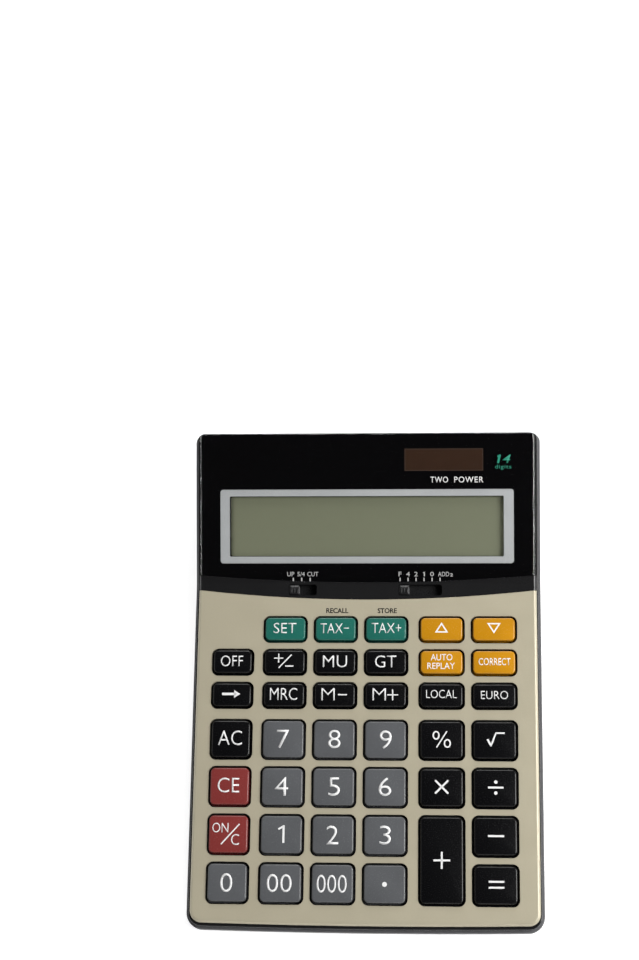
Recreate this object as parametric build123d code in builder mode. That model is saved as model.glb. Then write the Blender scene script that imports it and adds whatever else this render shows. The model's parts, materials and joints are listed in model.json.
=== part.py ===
"""Desk calculator: a folded case with a sloped keypad and a steeper display."""

from build123d import *
import os
from math import cos, radians, sin, sqrt, tan

# Slopes of the two top faces, in degrees
keypad_slope = 3.0
display_slope = 18.0

# Key caps, their spacing and the margins around them on the plate
left_key_width = 15.5
number_key_width = 16.3
right_key_width = 16.9
short_key_height = 9.35
tall_key_height = 14.7
key_gap = 4.15
left_gap = 5.2
group_gap = 5.75
left_margin = 7.0
right_margin = 8.95
first_row_inset = 14.4
front_margin = 8.7

# Each key: cap above the plate, walls, flange below the web and its travel
key_corner = 1.8
key_edge = 0.5
key_wall = 1.2
key_roof = 1.6
key_proud = 1.3
key_travel = 1.3
key_plunger_radius = 2.0
flange_reach = 1.1
flange_thickness = 1.0
plate_gap = 0.9
well_gap = 0.4
stop_gap = 0.15
plunger_gap = 0.1
travel_spare = 0.4

# Panels that lie on the top case, and the raised band between them
panel_thickness = 1.6
panel_edge = 1.3
panel_land = 0.2
panel_gap = 0.15
tape_gap = 0.1
plate_corner = 4.7
window_inset = 0.5
window_corner = 1.8
band_front_middle = 6.6
band_front_bow = 3.9
band_back_middle = 0.3
band_back_bow = 2.9
front_bow = 0.8

# Case shells
case_wall = 2.0
web_thickness = 2.0
ledge = 0.7
rim_step = 1.1
front_ledge = 1.2
front_rim = 1.0
back_ledge = 0.4
back_rim = 0.6
back_corner = 2.0
least_corner = 0.4
parting_depth = 5.0
lip_height = 1.5
lip_gap = 0.2
floor_thickness = 2.2
floor_gap = 1.3
base_edge_in = 1.6
base_edge_up = 5.5
rim_edge = 0.4

# Display: bezel, liquid crystal panel with its ribbon, and solar cell
bezel_height = 30.2
bezel_side_margin = 8.65
bezel_lower_margin = 8.15
bezel_thickness = 1.0
bezel_corner = 2.0
bezel_side_bar = 4.2
bezel_end_bar = 2.9
bezel_gap = 0.15
opening_corner = 0.8
lcd_overlap = 3.0
lcd_glass = 1.1
lcd_contact_ledge = 2.0
lcd_rib_thickness = 1.2
lcd_rib_height = 2.0
lcd_rib_gap = 0.3
solar_width = 32.0
solar_height = 9.1
solar_thickness = 1.1
solar_gap = 0.15
solar_right_margin = 21.35
solar_lower_gap = 7.45
display_top_margin = 6.5
ribbon_width = 24.0
ribbon_thickness = 0.3
ribbon_x = -4.0
ribbon_overlap = 3.0

# Circuit board and the silicone mat on it
mat_thickness = 0.8
mat_margin = 0.5
mat_side_inset = 8.8
dome_base_radius = 4.0
dome_top_radius = 2.4
board_thickness = 1.4
board_side_inset = 8.8
board_front_inset = 2.4
board_back_reach = 2.0
board_post_radius = 1.4
board_post_gap = 0.4
board_screw_radius = 0.8
board_screw_bite = 2.4
board_head_radius = 1.9
board_head_height = 1.2
screw_gap = 0.05

# Case screws in their posts
post_side_inset = 4.45
post_front_inset = 3.85
post_row_inset = 4.4
post_back_inset = 5.6
post_radius = 3.6
screw_radius = 1.1
screw_head_radius = 2.1
screw_head_height = 1.5
screw_grip = 4.5
screw_bite = 2.6
head_gap = 0.3

# Slide switches in the band
slot_t = 2.7
slot_width = 4.6
slot_corner = 1.0
slot_end_gap = 0.2
knob_length = 4.2
knob_corner = 0.6
knob_side_gap = 0.4
knob_proud = 0.4
knob_base_thickness = 0.8
knob_base_overlap = 1.0
knob_groove_width = 0.5
knob_groove_depth = 0.4
knob_groove_pitch = 1.2
rounding_slot_x = -26.2
rounding_travel = 6.8
decimal_slot_x = 21.7
decimal_travel = 13.0
wiper_width = 2.4
wiper_thickness = 0.3
wiper_foot = 1.5
wiper_leaf = 4.0
wiper_reach = 2.0
wiper_gap = 0.1

# Battery cell, its bay, contacts and sliding door
cell_diameter = 14.5
cell_length = 49.5
nub_radius = 2.75
nub_length = 1.0
cell_gap = 0.6
cell_rest_gap = 0.3
bay_wall = 1.5
bay_rear_inset = 4.0
contact_room = 2.3
contact_thickness = 0.4
contact_width = 8.0
contact_height = 11.0
door_lip = 1.5
door_plate = 1.0
door_gap = 0.2
door_grip_count = 4
door_grip_pitch = 2.0
door_grip_width = 20.0
door_grip_depth = 0.4
door_grip_groove = 0.8

# Rubber feet
foot_radius = 5.0
foot_height = 1.0
foot_sink = 0.6
foot_edge = 0.3
foot_side_inset = 12.0
foot_front_inset = 18.0
foot_back_inset = 22.0

# Key names by row and column; the plus key spans the last two rows
key_rows = [
    [None, "set", "tax_minus", "tax_plus", "up", "down"],
    ["off", "sign", "mu", "gt", "replay", "correct"],
    ["backspace", "mrc", "memory_minus", "memory_plus", "local", "euro"],
    ["all_clear", "7", "8", "9", "percent", "root"],
    ["clear_entry", "4", "5", "6", "multiply", "divide"],
    ["on_clear", "1", "2", "3", "plus", "minus"],
    ["0", "00", "000", "point", None, "equals"],
]
column_widths = [left_key_width] + 3 * [number_key_width] + 2 * [right_key_width]
column_gaps = [left_gap, key_gap, key_gap, group_gap, key_gap]
row_heights = 3 * [short_key_height] + 4 * [tall_key_height]
row_gaps = [key_gap, key_gap, group_gap, key_gap, key_gap, key_gap]

# Sizes that follow
plate_width = left_margin + sum(column_widths) + sum(column_gaps) + right_margin
keypad_length = first_row_inset + sum(row_heights) + sum(row_gaps) + front_margin
solar_low = bezel_lower_margin + bezel_height + solar_lower_gap
display_length = solar_low + solar_height + display_top_margin
bezel_width = plate_width - 2 * bezel_side_margin
opening_width = bezel_width - 2 * bezel_side_bar
opening_height = bezel_height - 2 * bezel_end_bar
bezel_u = bezel_lower_margin + bezel_height / 2
solar_x = plate_width / 2 - solar_right_margin - solar_width / 2
solar_u = solar_low + solar_height / 2

# Depths below the keypad and display faces
panel_body = panel_thickness - tape_gap
panel_round = min(panel_edge, panel_body - panel_land)
web_bottom = panel_thickness + web_thickness
flange_top = web_bottom + stop_gap
flange_bottom = flange_top + flange_thickness
mat_top = flange_bottom + key_travel + travel_spare
board_top = mat_top + mat_thickness
board_bottom = board_top + board_thickness
lcd_back = web_bottom + 2 * lcd_glass
knob_base_bottom = flange_top + knob_base_thickness

# Places in the case frame: the origin is under the middle of the base
floor_top = foot_height + floor_thickness
front_height = floor_top + floor_gap + board_head_height + board_bottom
keypad_run = keypad_length * cos(radians(keypad_slope))
display_run = display_length * cos(radians(display_slope))
front_reach = front_ledge + front_rim
back_reach = back_ledge + back_rim
overall_depth = front_reach + keypad_run + display_run + back_reach
panel_front_y = front_reach - overall_depth / 2
fold_y = panel_front_y + keypad_run
fold_z = front_height + keypad_length * sin(radians(keypad_slope))
panel_back_y = fold_y + display_run
back_y = overall_depth / 2
top_height = fold_z + display_length
bay_length = cell_length + nub_length + 2 * contact_room
bay_width = cell_diameter + 2 * cell_gap
bay_y = back_y - bay_rear_inset - bay_width / 2
bay_roof = floor_top + cell_rest_gap + cell_diameter + cell_gap
cell_z = floor_top + cell_rest_gap + cell_diameter / 2
door_front_y = bay_y - bay_width / 2
mean_slope = radians(keypad_slope + display_slope) / 2
half_fold = radians(display_slope - keypad_slope) / 2


def face_plane(slope):
    """Plane of a top face: X across, Y up the slope, Z out of the face, origin on the fold."""
    angle = radians(slope)
    return Plane((0, fold_y, fold_z), x_dir=(1, 0, 0), z_dir=(0, -sin(angle), cos(angle)))


keypad = face_plane(keypad_slope)
display = face_plane(display_slope)
keypad_out = Axis(keypad.origin, keypad.z_dir)
display_out = Axis(display.origin, display.z_dir)


def centres(start, sizes, gaps):
    """Middle of each cell in a line of cells that begins at start."""
    places = []
    edge = start
    for size, gap in zip(sizes, gaps + [0]):
        places.append(edge + size / 2)
        edge += size + gap
    return places


column_x = centres(left_margin - plate_width / 2, column_widths, column_gaps)
row_y = [-t for t in centres(first_row_inset, row_heights, row_gaps)]

# One cell per key: name, middle, width, height and the rows its plungers press
keys = []
for row, names in enumerate(key_rows):
    for column, name in enumerate(names):
        rows = [row, row + 1] if name == "plus" else [row]
        top = row_y[rows[0]] + row_heights[rows[0]] / 2
        bottom = row_y[rows[-1]] - row_heights[rows[-1]] / 2
        if name:
            middle = (column_x[column], (top + bottom) / 2)
            keys.append((name, middle, column_widths[column], top - bottom, rows))

# Board posts stand in the gaps between key columns and rows
post_columns = [
    (column_x[a] + column_widths[a] / 2 + column_x[a + 1] - column_widths[a + 1] / 2) / 2
    for a in (0, 2, 4)
]
group_row_y = (row_y[2] - row_heights[2] / 2 + row_y[3] + row_heights[3] / 2) / 2
post_rows = [
    post_row_inset - first_row_inset,
    group_row_y,
    board_front_inset + board_post_radius + board_post_gap - keypad_length,
]
board_posts = [(x, y) for x in post_columns for y in post_rows]

# Case posts stand at the sides, outside the board
case_post_x = plate_width / 2 - post_side_inset
case_post_y = [
    panel_front_y + post_front_inset,
    fold_y - (first_row_inset - post_row_inset) * cos(radians(keypad_slope)),
    panel_back_y - post_back_inset,
]
case_posts = [(x, y) for x in (-case_post_x, case_post_x) for y in case_post_y]

# Feet near the corners of the base
foot_x = plate_width / 2 - foot_side_inset
foot_y = [foot_front_inset - overall_depth / 2, back_y - foot_back_inset]
feet = [(x, y) for x in (-foot_x, foot_x) for y in foot_y]


def height(y, depth):
    """Height of the folded top, lowered by depth, at a place along the case."""
    slope = radians(keypad_slope if y < fold_y else display_slope)
    return fold_z - depth / cos(slope) + (y - fold_y) * tan(slope)


def top_line(depth):
    """Side view of the folded top lowered by depth, from front to back."""
    drop = depth / cos(half_fold)
    fold = (fold_y + drop * sin(mean_slope), fold_z - drop * cos(mean_slope))
    far = overall_depth
    return [(-far, height(-far, depth)), fold, (far, height(far, depth))]


def plan(side, front_side, back_side):
    """Plan of the case past the panels' edges, with a bowed front and round corners."""
    half = plate_width / 2 + side
    front = panel_front_y - front_side
    back = panel_back_y + back_side
    with BuildSketch() as outline:
        with BuildLine():
            Polyline((half, front + front_bow), (half, back), (-half, back), (-half, front + front_bow))
            ThreePointArc((-half, front + front_bow), (0, front), (half, front + front_bow))
        make_face()
        front_ends = outline.vertices().group_by(Axis.Y)[0]
        fillet(front_ends, max(plate_corner + side, least_corner))
        back_ends = outline.vertices().group_by(Axis.Y)[-1]
        fillet(back_ends, max(back_corner + back_side, least_corner))
    return outline.sketch


def slab(upper, lower, trim, base=0):
    """Layer between two depths under the folded top, trimmed to a plan that rises from a base."""
    with BuildPart() as layer:
        with BuildSketch(Plane.YZ):
            with BuildLine():
                Polyline(*top_line(upper), *reversed(top_line(lower)), close=True)
            make_face()
        extrude(amount=plate_width, both=True)
        with BuildSketch(Plane.XY.offset(base)):
            add(trim)
        extrude(amount=top_height, mode=Mode.INTERSECT)
    return layer.part


def outer_top_edges(builder):
    """Edges around the folded top of a block, without the fold itself."""
    keypad_face = builder.faces().filter_by(keypad_out).sort_by(Axis.Z)[-1]
    display_face = builder.faces().filter_by(display_out).sort_by(Axis.Z)[-1]
    edges = keypad_face.edges() + display_face.edges()
    return [edge for edge in edges if abs(edge.center().Y - fold_y) > parting_depth]


def bow_at(bow, half):
    """Rise at another half width of the arc that rises by bow over the plate's half width."""
    radius = ((plate_width / 2) ** 2 + bow**2) / (2 * bow)
    return radius - sqrt(radius**2 - half**2)


def panel_outline(end, bow, far, width):
    """Panel outline on a face plane, from a bowed end near the fold to a far edge."""
    half = width / 2
    side = end + bow_at(bow, half)
    Polyline((-half, side), (-half, far), (half, far), (half, side))
    ThreePointArc((half, side), (0, end), (-half, side))


def save(builder, name):
    """Label a finished piece and write it."""
    builder.part.label = name
    export_step(builder.part, f"parts/{name}.step")


os.makedirs("parts", exist_ok=True)

# Plans of the shells
side_reach = ledge + rim_step
inset = case_wall + lip_gap
top_plan = plan(ledge, front_ledge, back_ledge)
top_inner_plan = plan(ledge - case_wall, front_ledge - case_wall, back_ledge - case_wall)
bottom_plan = plan(side_reach, front_reach, back_reach)
bottom_inner_plan = plan(side_reach - case_wall, front_reach - case_wall, back_reach - case_wall)
panel_plan = plan(0, 0, 0)
with BuildSketch() as post_plan:
    with Locations(*case_posts):
        Circle(post_radius)
with BuildSketch() as lip_plan:
    add(plan(side_reach - inset, front_reach - inset, back_reach - inset))
    with Locations(*case_posts):
        Circle(post_radius + lip_gap, mode=Mode.SUBTRACT)

# Layers of the case: top block, its hollow, the lip inside the lower shell, screw posts above and below
top_block = slab(panel_thickness, parting_depth, top_plan)
hollow = slab(web_bottom, parting_depth + 2 * lip_height, top_inner_plan)
lip = slab(parting_depth, parting_depth + lip_height, lip_plan.sketch)
upper_posts = slab(web_bottom, parting_depth, post_plan.sketch)
lower_posts = slab(parting_depth, top_height, post_plan.sketch, floor_top)
lower_block = slab(parting_depth, top_height, bottom_plan, foot_height)

band_cut_width = plate_width + 4 * ledge
with BuildPart() as band:
    add(slab(0, panel_thickness, panel_plan))
    fillet(outer_top_edges(band), panel_round)
    with BuildSketch(keypad.offset(-2 * panel_thickness)):
        with BuildLine():
            panel_outline(-band_front_middle, band_front_bow, -2 * keypad_length, band_cut_width)
        make_face()
    extrude(amount=4 * panel_thickness, mode=Mode.SUBTRACT)
    with BuildSketch(display.offset(-2 * panel_thickness)):
        with BuildLine():
            panel_outline(band_back_middle, band_back_bow, 2 * display_length, band_cut_width)
        make_face()
    extrude(amount=4 * panel_thickness, mode=Mode.SUBTRACT)

# Slide switches: name, slot middle and travel, with the slot as long as the travel needs
switches = [
    ("rounding", rounding_slot_x, rounding_travel),
    ("decimal", decimal_slot_x, decimal_travel),
]


def slot_length(travel):
    """Slot that leaves a knob its travel and a gap at each end."""
    return travel + knob_length + 2 * slot_end_gap


with BuildPart() as top_case:
    add(top_block)
    fillet(outer_top_edges(top_case), rim_edge)
    add(lip)
    add(hollow, mode=Mode.SUBTRACT)
    add(band.part)
    # Ribs that locate the liquid crystal panel under the web
    with BuildSketch(display.offset(-web_bottom)):
        with Locations((0, bezel_u)):
            rib_width = opening_width + 2 * (lcd_overlap + lcd_rib_gap)
            rib_height = opening_height + 2 * (lcd_overlap + lcd_rib_gap)
            Rectangle(rib_width + 2 * lcd_rib_thickness, rib_height + 2 * lcd_rib_thickness)
            Rectangle(rib_width, rib_height, mode=Mode.SUBTRACT)
    extrude(amount=-lcd_rib_height)
    # Posts for the board screws and for the case screws
    with BuildSketch(keypad.offset(-web_bottom)):
        with Locations(*board_posts):
            Circle(board_post_radius)
    extrude(amount=web_bottom - board_top)
    add(upper_posts)
    # Key wells, switch slots and display openings
    with BuildSketch(keypad):
        for name, middle, width, tall, rows in keys:
            with Locations(middle):
                RectangleRounded(width + 2 * well_gap, tall + 2 * well_gap, key_corner + well_gap)
        for name, x, travel in switches:
            with Locations((x, -slot_t)):
                RectangleRounded(slot_length(travel), slot_width, slot_corner)
    extrude(amount=-flange_top, mode=Mode.SUBTRACT)
    with BuildSketch(display.offset(-panel_thickness)):
        with Locations((0, bezel_u)):
            RectangleRounded(bezel_width + 2 * bezel_gap, bezel_height + 2 * bezel_gap, bezel_corner)
    extrude(amount=-bezel_thickness, mode=Mode.SUBTRACT)
    with BuildSketch(display.offset(-panel_thickness)):
        with Locations((0, bezel_u)):
            RectangleRounded(opening_width, opening_height, opening_corner)
    extrude(amount=-web_thickness, mode=Mode.SUBTRACT)
    with BuildSketch(display.offset(-panel_thickness)):
        with Locations((solar_x, solar_u)):
            Rectangle(solar_width + 2 * solar_gap, solar_height + 2 * solar_gap)
    extrude(amount=-solar_thickness, mode=Mode.SUBTRACT)
    # Pilot holes in the posts
    with BuildSketch(keypad.offset(-board_top)):
        with Locations(*board_posts):
            Circle(board_screw_radius + screw_gap)
    extrude(amount=board_screw_bite, mode=Mode.SUBTRACT)
    for x, y in case_posts:
        with BuildSketch(Plane.XY.offset(height(y, parting_depth) - post_radius)):
            with Locations((x, y)):
                Circle(screw_radius + screw_gap)
        extrude(amount=post_radius + screw_bite, mode=Mode.SUBTRACT)
save(top_case, "top_case")

# Solid form of the lower shell: walls drawn in towards the base, and a softened rim
with BuildPart() as tub:
    add(lower_block)
    base = tub.faces().sort_by(Axis.Z)[0]
    chamfer(base.edges(), base_edge_in, base_edge_up, reference=base)
    fillet(outer_top_edges(tub), rim_edge)

with BuildPart() as bottom_case:
    add(tub.part)
    with BuildSketch(Plane.XY.offset(floor_top)):
        add(bottom_inner_plan)
    extrude(amount=top_height, mode=Mode.SUBTRACT)
    add(lower_posts)
    # Battery bay over the floor
    with BuildSketch(Plane.XY.offset(floor_top)):
        with Locations((0, bay_y)):
            Rectangle(bay_length + 2 * bay_wall, bay_width + 2 * bay_wall)
    extrude(amount=bay_roof + bay_wall - floor_top)
    with BuildSketch(Plane.XY.offset(floor_top)):
        with Locations((0, bay_y)):
            Rectangle(bay_length, bay_width)
    extrude(amount=bay_roof - floor_top, mode=Mode.SUBTRACT)
    # Way out for the door: a narrow throat below, a wider groove for its tongues above
    with BuildSketch(Plane.XY.offset(foot_height)):
        with Locations((0, (door_front_y + back_y) / 2)):
            Rectangle(bay_length - 2 * door_lip, back_y - door_front_y)
    extrude(amount=floor_thickness, mode=Mode.SUBTRACT)
    with BuildSketch(Plane.XY.offset(foot_height + door_plate)):
        with Locations((0, (door_front_y + back_y) / 2)):
            Rectangle(bay_length, back_y - door_front_y)
    extrude(amount=floor_thickness - door_plate, mode=Mode.SUBTRACT)
    # Screw passages and foot recesses
    for x, y in case_posts:
        seat = height(y, parting_depth) - screw_grip
        with BuildSketch(Plane.XY):
            with Locations((x, y)):
                Circle(screw_head_radius + head_gap)
        extrude(amount=seat, mode=Mode.SUBTRACT)
        with BuildSketch(Plane.XY.offset(seat)):
            with Locations((x, y)):
                Circle(screw_radius + head_gap)
        extrude(amount=screw_grip + post_radius, mode=Mode.SUBTRACT)
    with BuildSketch(Plane.XY.offset(foot_height)):
        with Locations(*feet):
            Circle(foot_radius)
    extrude(amount=foot_sink, mode=Mode.SUBTRACT)
save(bottom_case, "bottom_case")

with BuildPart() as key_plate:
    with BuildSketch(keypad) as outline:
        with BuildLine():
            half = plate_width / 2
            front_end = front_bow - keypad_length
            Polyline((-half, front_end), (-half, 0), (half, 0), (half, front_end))
            ThreePointArc((half, front_end), (0, -keypad_length), (-half, front_end))
        make_face()
        fillet(outline.vertices().group_by(Axis.Y)[0], plate_corner)
    extrude(amount=-panel_body)
    fillet(key_plate.faces().sort_by(keypad_out)[-1].edges(), panel_round)
    # Rear edge along the band, then a hole for each key
    with BuildSketch(keypad):
        with BuildLine():
            panel_outline(-band_front_middle - panel_gap, band_front_bow, keypad_length, band_cut_width)
        make_face()
        for name, middle, width, tall, rows in keys:
            with Locations(middle):
                RectangleRounded(width + 2 * plate_gap, tall + 2 * plate_gap, key_corner + plate_gap)
    extrude(amount=-panel_thickness, mode=Mode.SUBTRACT)
save(key_plate, "key_plate")

with BuildPart() as display_window:
    with BuildSketch(display) as outline:
        with BuildLine():
            half = plate_width / 2 - window_inset
            far = display_length
            Polyline((half, -far), (half, far), (-half, far), (-half, -far), close=True)
        make_face()
        fillet(outline.vertices().group_by(Axis.Y)[-1], window_corner)
    extrude(amount=-panel_body)
    fillet(display_window.faces().sort_by(display_out)[-1].edges(), panel_round)
    # Drawn past the band, then trimmed along it
    with BuildSketch(display):
        with BuildLine():
            panel_outline(band_back_middle + panel_gap, band_back_bow, 2 * display_length, band_cut_width)
        make_face()
    extrude(amount=-panel_thickness, mode=Mode.INTERSECT)
save(display_window, "display_window")

with BuildPart() as lcd_bezel:
    with BuildSketch(display.offset(-panel_thickness)):
        with Locations((0, bezel_u)):
            RectangleRounded(bezel_width, bezel_height, bezel_corner - bezel_gap)
            RectangleRounded(opening_width, opening_height, opening_corner, mode=Mode.SUBTRACT)
    extrude(amount=-bezel_thickness)
save(lcd_bezel, "lcd_bezel")

# Front glass is shorter along the lower edge, where the ribbon's contacts lie on the rear glass
with BuildPart() as lcd_panel:
    lcd_width = opening_width + 2 * lcd_overlap
    lcd_height = opening_height + 2 * lcd_overlap
    with BuildSketch(display.offset(-web_bottom)):
        with Locations((0, bezel_u + lcd_contact_ledge / 2)):
            Rectangle(lcd_width, lcd_height - lcd_contact_ledge)
    extrude(amount=-lcd_glass)
    with BuildSketch(display.offset(-web_bottom - lcd_glass)):
        with Locations((0, bezel_u)):
            Rectangle(lcd_width, lcd_height)
    extrude(amount=-lcd_glass)
save(lcd_panel, "lcd_panel")

with BuildPart() as solar_cell:
    with BuildSketch(display.offset(-panel_thickness)):
        with Locations((solar_x, solar_u)):
            Rectangle(solar_width, solar_height)
    extrude(amount=-solar_thickness)
save(solar_cell, "solar_cell")

with BuildPart() as circuit_board:
    board_length = keypad_length - board_front_inset + board_back_reach
    with BuildSketch(keypad.offset(-board_top)):
        with Locations((0, board_back_reach - board_length / 2)):
            Rectangle(plate_width - 2 * board_side_inset, board_length)
        with Locations(*board_posts):
            Circle(board_screw_radius + head_gap, mode=Mode.SUBTRACT)
    extrude(amount=-board_thickness)
save(circuit_board, "circuit_board")

with BuildPart() as board_screws:
    with BuildSketch(keypad.offset(-board_bottom)):
        with Locations(*board_posts):
            Circle(board_head_radius)
    extrude(amount=-board_head_height)
    with BuildSketch(keypad.offset(-board_bottom)):
        with Locations(*board_posts):
            Circle(board_screw_radius)
    extrude(amount=board_thickness + board_screw_bite - screw_gap)
save(board_screws, "board_screws")

# A ribbon runs from under the panel's lower edge down to the board's rear edge
lcd_low_u = bezel_u - lcd_height / 2
with BuildPart() as lcd_ribbon:
    with BuildSketch(Plane.YZ.offset(ribbon_x - ribbon_width / 2)):
        with BuildLine():
            on_panel = -lcd_back - ribbon_thickness / 2
            on_board = ribbon_thickness / 2 - board_top
            run = [
                display.from_local_coords((0, lcd_low_u + ribbon_overlap, on_panel)),
                display.from_local_coords((0, lcd_low_u - ribbon_overlap, on_panel)),
                keypad.from_local_coords((0, -ribbon_overlap, on_board)),
                keypad.from_local_coords((0, -2 * ribbon_overlap, on_board)),
            ]
            Polyline(*[(point.Y, point.Z) for point in run])
        trace(line_width=ribbon_thickness)
    extrude(amount=ribbon_width)
save(lcd_ribbon, "lcd_ribbon")

with BuildPart() as key_mat:
    mat_back = mat_margin - first_row_inset
    mat_front = front_margin - mat_margin - keypad_length
    with BuildSketch(keypad.offset(-board_top)):
        with Locations((0, (mat_back + mat_front) / 2)):
            Rectangle(plate_width - 2 * mat_side_inset, mat_back - mat_front)
        with Locations(*board_posts):
            Circle(board_post_radius + board_post_gap, mode=Mode.SUBTRACT)
    extrude(amount=mat_thickness)
    dome_height = mat_top - flange_bottom - plunger_gap
    with Locations(keypad.offset(dome_height / 2 - mat_top)):
        for name, middle, width, tall, rows in keys:
            with Locations(*[(middle[0], row_y[row]) for row in rows]):
                Cone(dome_base_radius, dome_top_radius, dome_height)
save(key_mat, "key_mat")

for name, middle, width, tall, rows in keys:
    with BuildPart() as key:
        with BuildSketch(keypad.offset(-flange_bottom)):
            with Locations(middle):
                RectangleRounded(width, tall, key_corner)
        extrude(amount=flange_bottom + key_proud)
        chamfer(key.faces().sort_by(keypad_out)[-1].edges(), key_edge)
        with BuildSketch(keypad.offset(-flange_bottom)):
            with Locations(middle):
                Rectangle(width + 2 * flange_reach, tall + 2 * flange_reach)
        extrude(amount=flange_thickness)
        # Hollow from below, around the plungers
        with BuildSketch(keypad.offset(-flange_bottom)):
            with Locations(middle):
                Rectangle(width - 2 * key_wall, tall - 2 * key_wall)
            with Locations(*[(middle[0], row_y[row]) for row in rows]):
                Circle(key_plunger_radius, mode=Mode.SUBTRACT)
        extrude(amount=flange_bottom + key_proud - key_roof, mode=Mode.SUBTRACT)
    save(key, f"key_{name}")

# Knobs stand at the left end of their slots
for name, x, travel in switches:
    knob_x = x - travel / 2
    base_reach = slot_length(travel) - slot_end_gap - knob_length / 2 + knob_base_overlap
    with BuildPart() as knob:
        with BuildSketch(keypad.offset(-flange_top)):
            with Locations((knob_x, -slot_t)):
                Rectangle(2 * base_reach, slot_width + 2 * knob_base_overlap)
        extrude(amount=-knob_base_thickness)
        with BuildSketch(keypad.offset(-flange_top)):
            with Locations((knob_x, -slot_t)):
                RectangleRounded(knob_length, slot_width - 2 * knob_side_gap, knob_corner)
        extrude(amount=flange_top + knob_proud)
        with BuildSketch(keypad.offset(knob_proud)):
            with Locations((knob_x, -slot_t)):
                with GridLocations(knob_groove_pitch, 0, 3, 1):
                    Rectangle(knob_groove_width, slot_width)
        extrude(amount=-knob_groove_depth, mode=Mode.SUBTRACT)
    save(knob, f"{name}_knob")
    across = Plane(keypad.from_local_coords((knob_x, -slot_t, 0)), x_dir=(1, 0, 0), z_dir=-keypad.y_dir)
    with BuildPart() as wiper:
        with BuildSketch(across.offset(-wiper_width / 2)):
            with BuildLine():
                under_knob = -knob_base_bottom - wiper_thickness / 2
                on_track = wiper_gap + wiper_thickness / 2 - board_top
                Polyline(
                    (-wiper_leaf, under_knob),
                    (0, under_knob),
                    (wiper_reach, on_track),
                    (wiper_reach + wiper_foot, on_track),
                )
            trace(line_width=wiper_thickness)
        extrude(amount=wiper_width)
    save(wiper, f"{name}_wiper")

with BuildPart() as battery_cell:
    with BuildSketch(Plane.YZ.offset(-cell_length / 2 - nub_length / 2)):
        with Locations((bay_y, cell_z)):
            Circle(cell_diameter / 2)
    extrude(amount=cell_length)
    with BuildSketch(Plane.YZ.offset(cell_length / 2 - nub_length / 2)):
        with Locations((bay_y, cell_z)):
            Circle(nub_radius)
    extrude(amount=nub_length)
save(battery_cell, "battery_cell")

# Bent leaf at each end of the bay, pressing on the cell
with BuildPart() as battery_contacts:
    for side in (-1, 1):
        with BuildSketch(Plane.XZ.offset(-bay_y - contact_width / 2)):
            with BuildLine():
                at_wall = side * (bay_length - contact_thickness) / 2
                at_cell = side * (cell_length + nub_length + contact_thickness) / 2
                low = cell_z - contact_height / 2
                high = cell_z + contact_height / 2
                Polyline(
                    (at_wall, low),
                    (at_wall, high),
                    (at_cell, cell_z + contact_height / 6),
                    (at_cell, cell_z - contact_height / 6),
                )
            trace(line_width=contact_thickness)
        extrude(amount=contact_width)
save(battery_contacts, "battery_contacts")

with BuildPart() as battery_door:
    door_length = back_y - door_front_y - door_gap
    door_middle = back_y - door_length / 2
    with BuildSketch(Plane.XY.offset(foot_height)):
        with Locations((0, door_middle)):
            Rectangle(bay_length - 2 * door_lip - 2 * door_gap, door_length)
    extrude(amount=floor_thickness - door_gap)
    with BuildSketch(Plane.XY.offset(foot_height + door_plate + door_gap / 2)):
        with Locations((0, door_middle)):
            Rectangle(bay_length - 2 * door_gap, door_length)
    extrude(amount=floor_thickness - door_plate - 1.5 * door_gap)
    add(tub.part, mode=Mode.INTERSECT)
    with BuildSketch(Plane.XY.offset(foot_height)):
        with Locations((0, door_middle)):
            with GridLocations(0, door_grip_pitch, 1, door_grip_count):
                SlotOverall(door_grip_width, door_grip_groove)
    extrude(amount=door_grip_depth, mode=Mode.SUBTRACT)
save(battery_door, "battery_door")

with BuildPart() as case_screws:
    for x, y in case_posts:
        seat = height(y, parting_depth) - screw_grip
        with BuildSketch(Plane.XY.offset(seat)):
            with Locations((x, y)):
                Circle(screw_head_radius)
        extrude(amount=-screw_head_height)
        with BuildSketch(Plane.XY.offset(seat)):
            with Locations((x, y)):
                Circle(screw_radius)
        extrude(amount=screw_grip + screw_bite - screw_gap)
save(case_screws, "case_screws")

with BuildPart() as rubber_feet:
    with BuildSketch(Plane.XY):
        with Locations(*feet):
            Circle(foot_radius)
    extrude(amount=foot_height + foot_sink)
    chamfer(rubber_feet.edges().group_by(Axis.Z)[0], foot_edge)
save(rubber_feet, "rubber_feet")
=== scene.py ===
"""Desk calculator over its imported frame: printed key caps, glossy display, satin plate."""

import json
from math import atan2, radians

import bmesh
import bpy
from mathutils import Matrix, Vector


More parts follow.
